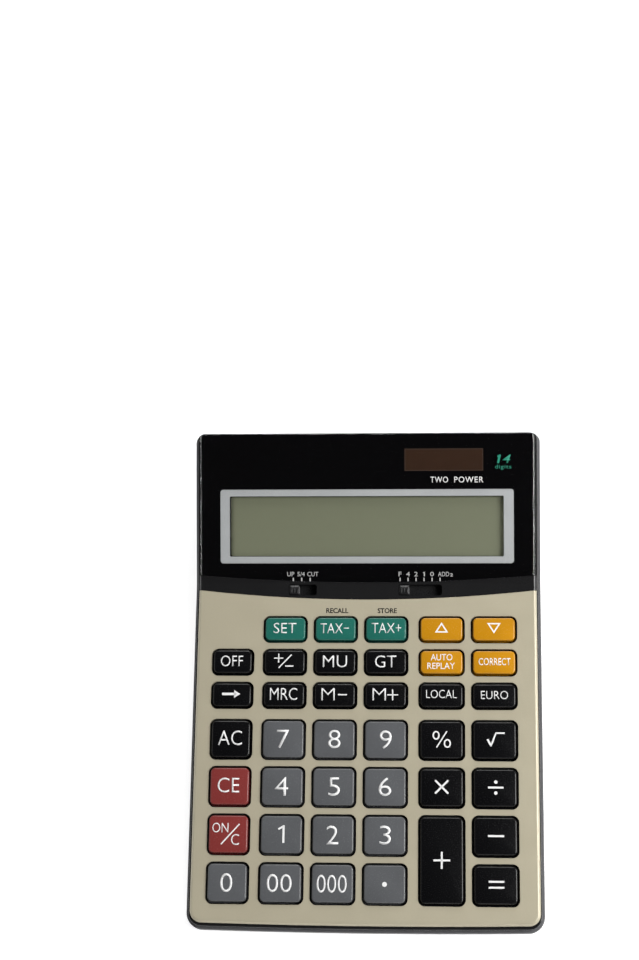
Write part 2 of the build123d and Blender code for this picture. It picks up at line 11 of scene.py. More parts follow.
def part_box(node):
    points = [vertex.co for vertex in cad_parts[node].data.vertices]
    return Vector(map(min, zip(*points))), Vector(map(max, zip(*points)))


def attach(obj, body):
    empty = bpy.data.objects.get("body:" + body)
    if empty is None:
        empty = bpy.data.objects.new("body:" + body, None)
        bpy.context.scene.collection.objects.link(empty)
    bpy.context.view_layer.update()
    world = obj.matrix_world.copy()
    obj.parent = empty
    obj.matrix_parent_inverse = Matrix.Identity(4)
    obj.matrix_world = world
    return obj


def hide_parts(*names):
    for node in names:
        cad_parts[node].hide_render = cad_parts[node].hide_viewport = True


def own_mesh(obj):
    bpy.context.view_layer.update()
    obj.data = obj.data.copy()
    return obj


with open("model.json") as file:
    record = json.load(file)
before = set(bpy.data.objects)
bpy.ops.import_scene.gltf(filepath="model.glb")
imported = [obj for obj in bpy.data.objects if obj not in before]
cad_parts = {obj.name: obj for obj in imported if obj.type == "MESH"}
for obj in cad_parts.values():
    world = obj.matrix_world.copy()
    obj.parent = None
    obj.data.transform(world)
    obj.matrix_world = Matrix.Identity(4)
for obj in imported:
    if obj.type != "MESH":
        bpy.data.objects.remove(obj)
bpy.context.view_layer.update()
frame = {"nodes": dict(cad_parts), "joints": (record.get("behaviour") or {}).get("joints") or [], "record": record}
nodes = frame["nodes"]
slot_of = {part["node"]: part["material_slot"] for part in frame["record"]["subparts"]}
travel = {joint["name"]: joint["range_m"] for joint in frame["joints"]}
mm = 0.001

# Tolerances for points that meet, and the angle below which shading is smooth
touch = 0.01 * mm
weld = 0.001 * mm
smooth_angle = radians(35)

# Slopes of the two top faces
keypad_slope = radians(3)
display_slope = radians(18)

# Sizes of the key caps; a tall cap's two plungers stand a share of its height from its middle
cap_corner = 1.8 * mm
cap_edge = 0.5 * mm
cap_inset = 0.1 * mm
cap_wall = 1.2 * mm
cap_roof = 1.6 * mm
flange_reach = 1.1 * mm
flange_thickness = 1.0 * mm
plunger_radius = 2.0 * mm
plunger_edge = 0.3 * mm
plunger_root = 0.2 * mm
plunger_share = 0.28

# Sizes of the dome mat; a dome's hollow keeps a share of its width at the roof
mat_sheet = 0.8 * mm
dome_base = 4.0 * mm
dome_top = 2.4 * mm
dome_height = 1.6 * mm
dome_wall = 0.7 * mm
dome_hollow = 0.9 * mm
dome_edge = 0.4 * mm
dome_roof_share = 0.6

# Sizes of the slide knobs
knob_plate = 0.8 * mm
knob_corner = 0.6 * mm
knob_chamfer = 0.45 * mm
knob_ridge = 0.45 * mm
knob_ridge_pitch = 1.15 * mm
knob_ridge_taper = 0.9

# Sizes of the case screws
screw_head = 2.1 * mm
screw_head_height = 1.5 * mm
screw_head_round = 0.35 * mm
screw_shank = 1.1 * mm
screw_point = 1.2 * mm
screw_point_taper = 0.35
screw_cross = 1.2 * mm
screw_cross_slot = 0.32 * mm
screw_cross_depth = 0.9 * mm
screw_cross_taper = 0.6

# Sizes of the display window and of the silver frame behind it
frame_left_bar = 3.75 * mm
frame_right_bar = 4.05 * mm
frame_end_bar = 2.75 * mm
frame_corner = 1.2 * mm
frame_opening_corner = 0.5 * mm
frame_right_trim = 0.4 * mm
window_round = 0.9 * mm

# Painted shade on the display glass along its left and top edges, standing in for the shade of the frame's walls:
# how far it reaches, and what it leaves of the colour at the edge
painted_shade_left_reach = 2.4 * mm
painted_shade_left_keep = 0.4
painted_shade_top_reach = 1.0 * mm
painted_shade_top_keep = 0.55

# Border of the solar cell, and the blur of its inner edge
solar_border = 0.4 * mm
solar_border_blur = 0.1 * mm

# Printing: thickness of the ink, then strokes and figures on the keys in millimetres
ink = 0.03 * mm
sign_line = 0.74
figure_height = 7.3

# Words above two of the keys: their place, height and weight, then each width and shift
caption_rise = 3.1 * mm
caption_height = 2.1
caption_weight = 0.026
captions = {"key_tax_minus": ("RECALL", 9.0, 0.5), "key_tax_plus": ("STORE", 7.8, 0.35)}

# Switch scales: ticks and labels, then the pitch, the shift and each label's width and shift
scale_rise = 1.15 * mm
tick_half = 0.7
tick_line = 0.45
label_height = 1.8
label_rise = 2.2
scales = {
    "rounding": (3.45, -0.5, [("UP", 2.9, -1.05), ("5/4", 3.0, -0.25), ("CUT", 4.5, 1.1)]),
    "decimal": (
        3.25,
        -0.1,
        [
            ("F", 1.2, 0),
            ("4", 1.5, 0),
            ("2", 1.4, 0),
            ("1", 0, 0),
            ("0", 1.5, 0),
            ("ADD", 4.5, 1.45),
        ],
    ),
}

# Notes on power and digits: how far from the solar cell's right end and lower edge they stand
power_left = 11.0 * mm
power_drop = 3.6 * mm
digits_right = 7.9 * mm

# Camera
camera_place = (0.03873, -0.16967, 0.79846)
camera_turn = (radians(18.108), radians(3.992), radians(1.074))
camera_lens = 73.97
camera_film = 36
camera_near = 0.01

# Studio: floor, each soft light's place, size and power, and the glow of walls and ceiling
floor_size = 6.0
floor_glow = 0.62
light_aim = Vector((0, 0, 0.02))
lights = {
    "right_box": ((0.78, -0.05, 0.78), 0.6, 15.2),
    "left_box": ((-1.2, 0.1, 0.8), 1.0, 2.5),
    "front_box": ((0.1, -1.3, 0.8), 0.8, 4),
    "back_box": ((0.0, 1.2, 0.9), 0.8, 13),
}
wall_glow = 0.4
ceiling_glow = 0.005
ceiling_rise = 0.75


def face_frame(slope, panel):
    """Matrix of a sloped face: X across, Y up it, Z out of it, the panel's top at Z 0."""
    turn = Matrix.Rotation(slope, 4, "X")
    back = turn.inverted()
    top = max((back @ corner.co).z for corner in nodes[panel].data.vertices)
    return turn @ Matrix.Translation((0, 0, top))


keypad = face_frame(keypad_slope, "key_plate")
display = face_frame(display_slope, "display_window")


def outward(face):
    """Direction out of a face."""
    return face.to_3x3() @ Vector((0, 0, 1))


def box_of(points):
    """Lowest and highest corner around some points."""
    low = Vector([min(point[axis] for point in points) for axis in range(3)])
    high = Vector([max(point[axis] for point in points) for axis in range(3)])
    return low, high


def extent(node, face, above=-1.0):
    """Lowest and highest corner of a node in a face's frame, from its points above a height."""
    back = face.inverted()
    points = [back @ corner.co for corner in nodes[node].data.vertices]
    return box_of([point for point in points if point.z > above])


solar_low, solar_high = extent("solar_cell", display)
mat_top = extent("key_mat", keypad)[0].z + mat_sheet

# Finishes


def finish(name, roughness, metallic=0.0, shine=0.5):
    """New material with its surface node, and the object coordinates its patterns read."""
    material = bpy.data.materials.new(name)
    material.use_nodes = True
    tree = material.node_tree
    surface = tree.nodes["Principled BSDF"]
    surface.inputs["Roughness"].default_value = roughness
    surface.inputs["Metallic"].default_value = metallic
    surface.inputs["Specular IOR Level"].default_value = shine
    place = tree.nodes.new("ShaderNodeTexCoord").outputs["Object"]
    return material, tree, surface, place


def noise(tree, place, scale, detail=2.0):
    """Noise of a given number of cells per metre."""
    pattern = tree.nodes.new("ShaderNodeTexNoise")
    pattern.inputs["Scale"].default_value = scale
    pattern.inputs["Detail"].default_value = detail
    tree.links.new(place, pattern.inputs["Vector"])
    return pattern.outputs["Fac"]


def ramp(tree, value, stops, kind="LINEAR"):
    """Colour that a value picks from stops of place and colour."""
    node = tree.nodes.new("ShaderNodeValToRGB")
    node.color_ramp.interpolation = kind
    marks = node.color_ramp.elements
    for index, (start, colour) in enumerate(stops):
        mark = marks[index] if index < len(marks) else marks.new(start)
        mark.position = start
        mark.color = (*colour, 1)
    tree.links.new(value, node.inputs["Fac"])
    return node.outputs["Color"]


def spread(tree, value, source, target=(0, 1), smooth=False):
    """Value carried over from one range to another."""
    node = tree.nodes.new("ShaderNodeMapRange")
    if smooth:
        node.interpolation_type = "SMOOTHSTEP"
    for name, number in zip(("From Min", "From Max", "To Min", "To Max"), (*source, *target)):
        node.inputs[name].default_value = number
    tree.links.new(value, node.inputs["Value"])
    return node.outputs["Result"]


def combine(tree, operation, *values):
    """Value worked out from others, such as their product."""
    node = tree.nodes.new("ShaderNodeMath")
    node.operation = operation
    for socket, value in zip(node.inputs, values):
        tree.links.new(value, socket)
    return node.outputs[0]


def split_axes(tree, place):
    """Coordinates along each axis."""
    split = tree.nodes.new("ShaderNodeSeparateXYZ")
    tree.links.new(place, split.inputs["Vector"])
    return split.outputs


def two_tone(tree, surface, pattern, dark, light):
    """Colour that wanders between two close tones."""
    colour = ramp(tree, pattern, ((0.35, dark), (0.65, light)))
    tree.links.new(colour, surface.inputs["Base Color"])
    return colour


def roughness_range(tree, surface, pattern, low, high):
    """Roughness that wanders between two values."""
    tree.links.new(spread(tree, pattern, (0.3, 0.7), (low, high)), surface.inputs["Roughness"])


def relief(tree, surface, pattern, depth):
    """Fine surface relief of a given depth."""
    bump = tree.nodes.new("ShaderNodeBump")
    bump.inputs["Distance"].default_value = depth
    bump.inputs["Strength"].default_value = 1.0
    tree.links.new(pattern, bump.inputs["Height"])
    tree.links.new(bump.outputs["Normal"], surface.inputs["Normal"])


def tones(colour, share):
    """A darker and a lighter tone about a colour."""
    dark = [channel * (1 - share) for channel in colour]
    light = [min(1.0, channel * (1 + share)) for channel in colour]
    return dark, light


def moulded(name, colour, roughness, drift=0.06, grain=0.004 * mm, shine=0.5):
    """Moulded plastic: soft colour drift and a fine spark-eroded grain."""
    material, tree, surface, place = finish(name, roughness, 0.0, shine)
    two_tone(tree, surface, noise(tree, place, 60, 4), *tones(colour, drift))
    fine = noise(tree, place, 2500)
    roughness_range(tree, surface, fine, roughness - 0.05, roughness + 0.05)
    relief(tree, surface, fine, grain)
    return material


def key_plastic(name, colour, shine=0.4):
    """Plastic of the key caps, smoother than that of the case."""
    return moulded(name, colour, 0.24, grain=0.002 * mm, shine=shine)


def metal(name, colour, roughness):
    """Bare metal with fine drawn scratches."""
    material, tree, surface, place = finish(name, roughness, 1.0)
    stretch = tree.nodes.new("ShaderNodeMapping")
    stretch.inputs["Scale"].default_value = (1, 12, 1)
    tree.links.new(place, stretch.inputs["Vector"])
    lines = noise(tree, stretch.outputs["Vector"], 1500)
    two_tone(tree, surface, lines, *tones(colour, 0.08))
    roughness_range(tree, surface, lines, roughness - 0.06, roughness + 0.06)
    return material


def champagne_paint():
    """Satin metallic paint with fine flakes."""
    material, tree, surface, place = finish("champagne_paint", 0.42, 0.25)
    flakes = noise(tree, place, 9000, 0)
    two_tone(tree, surface, flakes, *tones((0.41, 0.372, 0.273), 0.05))
    roughness_range(tree, surface, noise(tree, place, 120, 3), 0.38, 0.46)
    relief(tree, surface, noise(tree, place, 5000), 0.002 * mm)
    return material


def clear_acrylic():
    """Clear window, faintly wavy, which lets the lamps through to what lies behind it."""
    material, tree, surface, place = finish("clear_acrylic", 0.0)
    surface.inputs["Base Color"].default_value = (0.97, 0.98, 0.98, 1)
    surface.inputs["IOR"].default_value = 1.49
    surface.inputs["Transmission Weight"].default_value = 1.0
    roughness_range(tree, surface, noise(tree, place, 40, 3), 0.0, 0.02)
    path = tree.nodes.new("ShaderNodeLightPath").outputs
    lamps = combine(tree, "MAXIMUM", path["Is Shadow Ray"], path["Is Diffuse Ray"])
    through = tree.nodes.new("ShaderNodeBsdfTransparent")
    mix = tree.nodes.new("ShaderNodeMixShader")
    tree.links.new(lamps, mix.inputs["Fac"])
    tree.links.new(surface.outputs["BSDF"], mix.inputs[1])
    tree.links.new(through.outputs["BSDF"], mix.inputs[2])
    tree.links.new(mix.outputs["Shader"], tree.nodes["Material Output"].inputs["Surface"])
    return material


def on_display(tree, place, middle):
    """Coordinates across and up the display about a place on it."""
    turn = tree.nodes.new("ShaderNodeMapping")
    turn.vector_type = "TEXTURE"
    turn.inputs["Location"].default_value = display @ middle
    turn.inputs["Rotation"].default_value = (display_slope, 0, 0)
    tree.links.new(place, turn.inputs["Vector"])
    return split_axes(tree, turn.outputs["Vector"])


def liquid_crystal():
    """Green grey display glass over its reflector, with painted shade along its left and top edges where the
    frame's walls would shade it.
    """
    material, tree, surface, place = finish("liquid_crystal", 0.35, 0.0, 0.3)
    fine = noise(tree, place, 6000, 0)
    colour = two_tone(tree, surface, fine, *tones((0.149, 0.157, 0.104), 0.05))
    relief(tree, surface, fine, 0.001 * mm)
    # Painted shade: the glass gets darker towards its left and top edges, as if under the frame's walls
    low, high = extent("lcd_bezel", display)
    left, top = low.x + frame_left_bar, high.y - frame_end_bar
    across = on_display(tree, place, Vector((0, 0, 0)))
    shade = combine(
        tree,
        "MULTIPLY",
        spread(tree, across["X"], (left, left + painted_shade_left_reach), (painted_shade_left_keep, 1), smooth=True),
        spread(tree, across["Y"], (top - painted_shade_top_reach, top), (1, painted_shade_top_keep), smooth=True),
    )
    darken = tree.nodes.new("ShaderNodeVectorMath")
    darken.operation = "SCALE"
    tree.links.new(colour, darken.inputs[0])
    tree.links.new(shade, darken.inputs["Scale"])
    tree.links.new(darken.outputs["Vector"], surface.inputs["Base Color"])
    return material


def solar_film():
    """Brown amorphous cell with a paler border."""
    material, tree, surface, place = finish("solar_film", 0.3, 0.0, 0.1)
    half = (solar_high - solar_low) / 2
    across = on_display(tree, place, (solar_low + solar_high) / 2)
    edges = []
    for axis, reach in (("X", half.x), ("Y", half.y)):
        inner = reach - solar_border
        fade = (inner - solar_border_blur / 2, inner + solar_border_blur / 2)
        edges.append(spread(tree, combine(tree, "ABSOLUTE", across[axis]), fade))
    tints = ((0, (0.026, 0.0128, 0.0075)), (1, (0.031, 0.0156, 0.0092)))
    border = tree.nodes.new("ShaderNodeMix")
    border.data_type = "RGBA"
    border.inputs["B"].default_value = (0.040, 0.026, 0.019, 1)
    tree.links.new(combine(tree, "MAXIMUM", *edges), border.inputs["Factor"])
    tree.links.new(ramp(tree, noise(tree, place, 150, 3), tints), border.inputs["A"])
    tree.links.new(border.outputs["Result"], surface.inputs["Base Color"])
    return material


def circuit_board():
    """Green solder mask with copper tracks showing faintly through."""
    material, tree, surface, place = finish("circuit_board", 0.35)
    tracks = tree.nodes.new("ShaderNodeTexBrick")
    tracks.inputs["Scale"].default_value = 250
    tracks.inputs["Mortar Size"].default_value = 0.03
    tracks.inputs["Color1"].default_value = (0.012, 0.075, 0.028, 1)
    tracks.inputs["Color2"].default_value = (0.016, 0.095, 0.036, 1)
    tracks.inputs["Mortar"].default_value = (0.05, 0.16, 0.06, 1)
    tree.links.new(place, tracks.inputs["Vector"])
    tree.links.new(tracks.outputs["Color"], surface.inputs["Base Color"])
    return material


def cell_jacket():
    """Battery jacket in two bands of colour, with bare metal at both ends."""
    material, tree, surface, place = finish("cell_jacket", 0.25)
    low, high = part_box("battery_cell")
    along = spread(tree, split_axes(tree, place)["X"], (low[0], high[0]))
    steel, blue, grey = (0.60, 0.60, 0.58), (0.030, 0.075, 0.130), (0.42, 0.40, 0.36)
    bare, coated = (1, 1, 1), (0, 0, 0)
    starts = (0.0, 0.02, 0.66, 0.955)
    bands = ramp(tree, along, zip(starts, (steel, blue, grey, steel)), "CONSTANT")
    ends = ramp(tree, along, zip(starts, (bare, coated, coated, bare)), "CONSTANT")
    tree.links.new(bands, surface.inputs["Base Color"])
    tree.links.new(ends, surface.inputs["Metallic"])
    roughness_range(tree, surface, noise(tree, place, 400), 0.2, 0.32)
    return material


def printed(name, colour, shine=0.4):
    """Opaque printing ink, a little uneven."""
    material, tree, surface, place = finish(name, 0.45, 0.0, shine)
    two_tone(tree, surface, noise(tree, place, 3000), *tones(colour, 0.04))
    return material


finishes = {
    "case_charcoal": moulded("charcoal_case", (0.10, 0.10, 0.104), 0.42, shine=0.4),
    "case_black": moulded("black_case", (0.0105, 0.0105, 0.0109), 0.15, shine=0.4),
    "plate_champagne": champagne_paint(),
    "window_clear": clear_acrylic(),
    "bezel_silver": moulded("silver_bezel", (0.335, 0.343, 0.345), 0.45, 0.03),
    "lcd_glass": liquid_crystal(),
    "ribbon_film": moulded("ribbon_film", (0.32, 0.14, 0.03), 0.3),
    "solar_film": solar_film(),
    "board_green": circuit_board(),
    "mat_silicone": moulded("silicone_mat", (0.45, 0.46, 0.47), 0.5),
    "screw_steel": metal("screw_steel", (0.50, 0.50, 0.52), 0.3),
    "cell_jacket": cell_jacket(),
    "contact_nickel": metal("contact_nickel", (0.62, 0.60, 0.56), 0.25),
    "foot_rubber": moulded("foot_rubber", (0.018, 0.018, 0.018), 0.7, 0.1, 0.01 * mm),
    "knob_black": moulded("knob_black", (0.0115, 0.0115, 0.0120), 0.3),
    "wiper_brass": metal("wiper_brass", (0.72, 0.50, 0.20), 0.3),
    "key_green": key_plastic("key_green", (0.013, 0.112, 0.086)),
    "key_amber": key_plastic("key_amber", (0.455, 0.202, 0.006)),
    "key_black": key_plastic("key_black", (0.0026, 0.0026, 0.0031), 0.35),
    "key_grey": key_plastic("key_grey", (0.084, 0.087, 0.092)),
    "key_red": key_plastic("key_red", (0.175, 0.029, 0.027)),
}
white_ink = printed("white_ink", (0.71, 0.71, 0.705))
pale_ink = printed("pale_ink", (0.42, 0.42, 0.415))
dark_ink = printed("dark_ink", (0.005, 0.0048, 0.0045), 0.2)
green_ink = printed("green_ink", (0.012, 0.235, 0.150))
black_ink = printed("black_ink", (0.0022, 0.0021, 0.0024), 0.0)


def paint(piece, material):
    """Give a piece one material."""
    piece.data.materials.clear()
    piece.data.materials.append(material)


for node_name, cad_node in nodes.items():
    paint(cad_node, finishes[slot_of[node_name]])

# Modelling helpers


def settle():
    """Take the place, turn and size of the selected pieces into their meshes."""
    bpy.ops.object.transform_apply(location=True, rotation=True, scale=True)


def block(middle, size):
    """Plain block about a place, to be worked on."""
    bpy.ops.object.select_all(action="DESELECT")
    bpy.ops.mesh.primitive_cube_add(size=1, location=middle, scale=size)
    settle()
    return bpy.context.object


def edit(piece):
    """Enter edit mode on one piece alone."""
    bpy.ops.object.select_all(action="DESELECT")
    bpy.context.view_layer.objects.active = piece
    piece.select_set(True)
    bpy.ops.object.mode_set(mode="EDIT")


def leave_edit():
    """Go back to object mode."""
    bpy.ops.object.mode_set(mode="OBJECT")


def smooth_shading():
    """Smooth the shading of the selected piece over shallow angles."""
    bpy.ops.object.shade_smooth_by_angle(angle=smooth_angle)


def pick_faces(test):
    """Select the faces whose middle and normal pass a test."""
    bpy.ops.mesh.select_mode(type="FACE")
    bpy.ops.mesh.select_all(action="DESELECT")
    mesh = bmesh.from_edit_mesh(bpy.context.edit_object.data)
    for face in mesh.faces:
        face.select_set(test(face.calc_center_median(), face.normal))
    bmesh.update_edit_mesh(bpy.context.edit_object.data)


def pick_edges(test):
    """Select the edges whose two ends pass a test."""
    bpy.ops.mesh.select_mode(type="EDGE")
    bpy.ops.mesh.select_all(action="DESELECT")
    mesh = bmesh.from_edit_mesh(bpy.context.edit_object.data)
    for edge in mesh.edges:
        edge.select_set(test(edge.verts[0].co, edge.verts[1].co))
    bmesh.update_edit_mesh(bpy.context.edit_object.data)


def pick_all():
    """Select the whole mesh."""
    bpy.ops.mesh.select_all(action="SELECT")


def face_outward():
    """Turn all faces outward."""
    pick_all()
    bpy.ops.mesh.normals_make_consistent(inside=False)


def round_edges(offset, segments):
    """Round the selected edges."""
    bpy.ops.mesh.bevel(offset=offset, segments=segments, affect="EDGES")


def extrude(move):
    """Extrude what is selected."""
    bpy.ops.mesh.extrude_region_move(TRANSFORM_OT_translate={"value": move})


def join(pieces, name):
    """Join pieces into one, with its place in its mesh."""
    bpy.ops.object.select_all(action="DESELECT")
    for piece in pieces:
        piece.select_set(True)
    bpy.context.view_layer.objects.active = pieces[0]
    if len(pieces) > 1:
        bpy.ops.object.join()
    settle()
    pieces[0].name = name
    return pieces[0]


def put(piece, place):
    """Move a finished mesh to its place and leave its object at the origin."""
    bpy.ops.object.select_all(action="DESELECT")
    bpy.context.view_layer.objects.active = piece
    piece.select_set(True)
    piece.matrix_world = place
    settle()


def thicken(piece):
    """Give a flat piece the ink's thickness."""
    thick = piece.modifiers.new("ink", "SOLIDIFY")
    thick.thickness = ink
    thick.offset = 0
    bpy.ops.object.modifier_apply(modifier="ink")


def copy_of(model):
    """Copy of a piece, with its own mesh."""
    piece = model.copy()
    piece.data = model.data.copy()
    bpy.context.scene.collection.objects.link(piece)
    return piece


def stand_in(piece, node, body):
    """Show a piece in place of a node, in its finish, on a body."""
    paint(piece, finishes[slot_of[node]])
    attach(piece, body)
    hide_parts(node)


def underside(node, face, name):
    """Flat outline of a node's underside, left in edit mode."""
    sheet = bpy.data.objects.new(name, nodes[node].data.copy())
    bpy.context.scene.collection.objects.link(sheet)
    out = outward(face)
    edit(sheet)
    bpy.ops.mesh.customdata_custom_splitnormals_clear()
    pick_all()
    bpy.ops.mesh.remove_doubles(threshold=weld)
    pick_faces(lambda middle, normal: normal.dot(out) > -0.99)
    bpy.ops.mesh.delete(type="FACE")
    pick_all()
    bpy.ops.mesh.dissolve_limited(angle_limit=radians(1))
    return sheet


# Legends: flat letters and strokes, sized in millimetres, joined and given the ink's thickness


def letters(words, width, tall, x=0.0, y=0.0, weight=-0.008, slant=0.0, spacing=1.0):
    """Flat letters fitted to a size; a width of 0 keeps their own proportion."""
    bpy.ops.object.select_all(action="DESELECT")
    bpy.ops.object.text_add()
    text = bpy.context.object
    text.data.body = words
    text.data.resolution_u = 4
    text.data.offset = weight
    text.data.shear = slant
    text.data.space_character = spacing
    bpy.ops.object.convert(target="MESH")
    text = bpy.context.object
    low, high = box_of([corner.co for corner in text.data.vertices])
    rise = tall * mm / (high.y - low.y)
    stretch = width * mm / (high.x - low.x) if width else rise
    text.scale = (stretch, rise, 1)
    text.location = (
        x * mm - stretch * (low.x + high.x) / 2,
        y * mm - rise * (low.y + high.y) / 2,
        0,
    )
    return text


def stroke(start, end, thick):
    """Flat straight stroke between two points, with softened corners."""
    run = Vector((end[0] - start[0], end[1] - start[1]))
    bpy.ops.object.select_all(action="DESELECT")
    bpy.ops.mesh.primitive_plane_add(size=1)
    piece = bpy.context.object
    piece.scale = (run.length * mm, thick * mm, 1)
    settle()
    edit(piece)
    pick_all()
    bpy.ops.mesh.bevel(offset=0.12 * thick * mm, segments=2, affect="VERTICES")
    leave_edit()
    piece.rotation_euler.z = atan2(run.y, run.x)
    piece.location = ((start[0] + end[0]) / 2 * mm, (start[1] + end[1]) / 2 * mm, 0)
    return piece


def bar(y, x=0.0, half=3.05):
    """Level bar about a place."""
    return stroke((x - half, y), (x + half, y), sign_line)


def cross(x, y, half, thick=sign_line):
    """Upright cross about a place."""
    level = stroke((x - half, y), (x + half, y), thick)
    upright = stroke((x, y - half), (x, y + half), thick)
    return [level, upright]


def figure_one(tall, x, y, thick, slant=0.0):
    """Figure one: an upright and a short flag."""
    top, foot = y + tall / 2, y - tall / 2
    lean = slant * tall
    flag = 0.2 * tall
    tip = x + lean / 2
    return [
        stroke((x - lean / 2, foot), (tip, top), thick),
        stroke((tip - 1.5 * flag, top - 1.15 * flag), (tip, top - thick / 2), thick * 0.9),
    ]


def dot(x, y, radius):
    """Flat round dot."""
    bpy.ops.object.select_all(action="DESELECT")
    bpy.ops.mesh.primitive_circle_add(
        vertices=20, radius=radius * mm, fill_type="NGON", location=(x * mm, y * mm, 0)
    )
    return bpy.context.object


def ring(x, y, width, tall, thick):
    """Flat oval ring."""
    bpy.ops.object.select_all(action="DESELECT")
    bpy.ops.mesh.primitive_circle_add(vertices=32, radius=0.5, fill_type="NGON")
    piece = bpy.context.object
    piece.scale = (width * mm, tall * mm, 1)
    settle()
    edit(piece)
    pick_all()
    bpy.ops.mesh.inset(thickness=thick * mm)
    bpy.ops.mesh.delete(type="FACE")
    leave_edit()
    piece.location = (x * mm, y * mm, 0)
    return piece


def solid_triangle(corners):
    """Flat filled triangle."""
    bpy.ops.object.select_all(action="DESELECT")
    bpy.ops.mesh.primitive_circle_add(vertices=3, radius=1, fill_type="NGON")
    piece = bpy.context.object
    for corner, (x, y) in zip(piece.data.vertices, corners):
        corner.co = (x * mm, y * mm, 0)
    return piece


def triangle(width, tall, y, line, point_up):
    """Outlined triangle that points up or down."""
    half = tall / 2 if point_up else -tall / 2
    piece = solid_triangle([(0, half + y), (-width / 2, -half + y), (width / 2, -half + y)])
    edit(piece)
    face_outward()
    bpy.ops.mesh.inset(thickness=line * mm)
    bpy.ops.mesh.delete(type="FACE")
    leave_edit()
    return piece


def arrow(x, y):
    """Solid arrow that points right."""
    shaft = stroke((x - 3.7, y), (x + 2.0, y), 0.98)
    head = solid_triangle([(x + 3.7, y), (x + 1.2, y + 1.55), (x + 1.2, y - 1.55)])
    return [shaft, head]


def legend(name, pieces, place, body, material):
    """Join flat pieces, give them the ink's thickness and lay them in place on a body."""
    print_piece = join(pieces, name)
    edit(print_piece)
    face_outward()
    leave_edit()
    thicken(print_piece)
    put(print_piece, place)
    paint(print_piece, material)
    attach(print_piece, body)


# Width of each figure, and how far it lies from the middle of its key
figures = {
    "0": (4.8, -0.3, 0.0),
    "2": (4.7, -0.25, 0.0),
    "3": (4.5, 0.15, 0.15),
    "4": (5.3, -0.3, 0.1),
    "5": (4.6, 0.2, 0.1),
    "6": (5.0, -0.1, 0.2),
    "7": (5.0, -0.1, 0.05),
    "8": (4.9, 0.05, 0.15),
    "9": (4.8, 0.1, 0.05),
}

# Words and signs of the other keys
legends = {
    "set": lambda: [letters("SET", 9.25, 4.25, -0.15, 0.3)],
    "tax_minus": lambda: [letters("TAX−", 11.6, 4.05, -0.4, 0.25)],
    "tax_plus": lambda: [letters("TAX+", 11.9, 4.1, 0.1, 0.4)],
    "up": lambda: [triangle(5.4, 4.2, 0.65, 0.55, True)],
    "down": lambda: [triangle(5.5, 4.3, 0.35, 0.55, False)],
    "off": lambda: [letters("OFF", 9.1, 4.4, -0.35, 0.25)],
    "sign": lambda: [
        *cross(-2.45, 1.45, 1.85, 0.45),
        stroke((-2.4, -2.5), (2.75, 2.9), 0.46),
        stroke((0.2, -1.75), (3.55, -1.75), 0.5),
    ],
    "mu": lambda: [letters("MU", 9.8, 4.8, -0.15, 0.2)],
    "gt": lambda: [letters("GT", 8.6, 4.9, -0.15, 0.2)],
    "replay": lambda: [
        letters("AUTO", 8.7, 2.6, 0, 2.0, 0.0),
        letters("REPLAY", 11.0, 2.5, -0.2, -1.5, 0.0),
    ],
    "correct": lambda: [letters("CORRECT", 12.7, 2.9, 0.15, 0.25, 0.004)],
    "backspace": lambda: arrow(-0.3, 0.3),
    "mrc": lambda: [letters("MRC", 11.0, 4.9, -0.25, 0.4)],
    "memory_minus": lambda: [
        letters("M", 5.4, 4.9, -2.75, 0.35, -0.016),
        stroke((1.25, 0.2), (4.9, 0.2), 0.5),
    ],
    "memory_plus": lambda: [
        letters("M", 5.4, 4.9, -2.65, 0.4, -0.016),
        *cross(2.75, 0.2, 2.2, 0.48),
    ],
    "local": lambda: [letters("LOCAL", 12.2, 3.35, -0.1, 0.6)],
    "euro": lambda: [letters("EURO", 10.8, 3.3, 0, 0.3)],
    "all_clear": lambda: [letters("AC", 9.7, 5.85, -0.3, 0.4)],
    "percent": lambda: [
        ring(-2.2, 1.85, 2.85, 3.5, 0.55),
        ring(2.25, -1.35, 2.85, 3.5, 0.55),
        stroke((-2.05, -3.0), (2.1, 3.5), 0.5),
    ],
    "root": lambda: [
        stroke((-2.9, 0.4), (-1.4, -2.35), 0.75),
        stroke((-1.6, -2.4), (0.55, 3.0), 0.6),
        stroke((0.3, 2.85), (3.95, 2.85), 0.6),
    ],
    "clear_entry": lambda: [letters("CE", 8.7, 5.9, -0.45, 0.4)],
    "multiply": lambda: [
        stroke((-2.6, -2.3), (2.6, 2.9), sign_line),
        stroke((-2.6, 2.9), (2.6, -2.3), sign_line),
    ],
    "divide": lambda: [bar(0.2, 0.25), dot(0.25, 2.35, 0.68), dot(0.25, -1.95, 0.68)],
    "on_clear": lambda: [
        letters("ON", 6.4, 3.8, -3.2, 2.5),
        stroke((-2.8, -4.0), (4.4, 4.0), 0.5),
        letters("C", 3.2, 4.3, 2.75, -2.1),
    ],
    "plus": lambda: cross(0, 0, 3.3),
    "minus": lambda: [bar(0.15, 0.2, 3.15)],
    "equals": lambda: [bar(1.4, 0.2), bar(-0.85, 0.2)],
    "1": lambda: figure_one(6.9, 0.85, 0.2, 0.85),
    "00": lambda: [letters("00", 9.8, 6.95, -0.5, 0)],
    "000": lambda: [letters("000", 11.8, 6.9, -0.3, -0.05)],
    "point": lambda: [dot(0, -0.05, 0.95)],
}


def key_marks(name):
    """Flat figure, word or sign of one key."""
    if name in figures:
        width, x, y = figures[name]
        return [letters(name, width, figure_height, x, y)]
    return legends[name]()


# Keys over their mat


